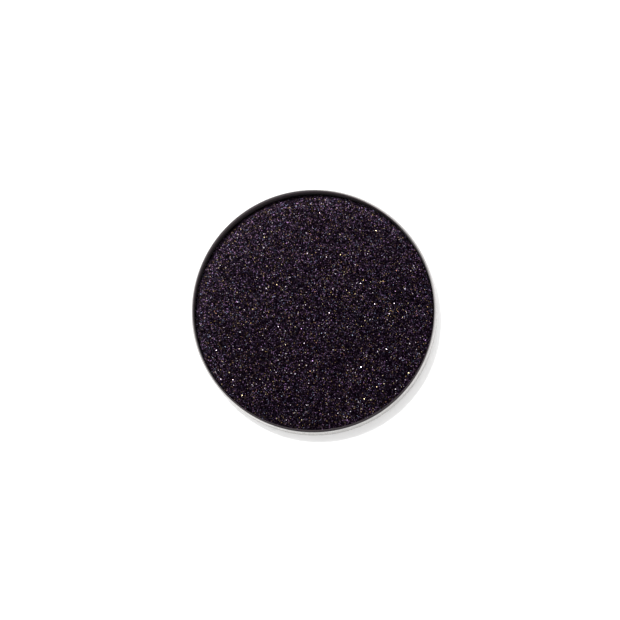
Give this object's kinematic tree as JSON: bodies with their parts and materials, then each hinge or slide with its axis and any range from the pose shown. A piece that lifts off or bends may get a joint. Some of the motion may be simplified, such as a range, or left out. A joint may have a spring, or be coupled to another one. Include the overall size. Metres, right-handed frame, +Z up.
{
  "type": "eyeshadow refill pan",
  "caption": "Round drawn-metal refill pan holding a flat cake of dark pressed glitter eyeshadow, recessed below the rim, with a blank paper label on its underside.",
  "frame": {"origin": "centre of the pan's underside, on the plane that its foot ring stands on", "axes": "+Z up along the pan's axis, out of the pressed face; the pan is round, so +X and +Y are free: -Y is towards the viewer"},
  "size_m": [0.026, 0.026, 0.004],
  "materials": {
    "tinplate": "satin",
    "pressed_powder": "matte",
    "label_paper": "matte"
  },
  "bodies": {
    "root": {"pan": "tinplate", "pressed_powder": "pressed_powder", "base_label": "label_paper"}
  },
  "joints": []
}
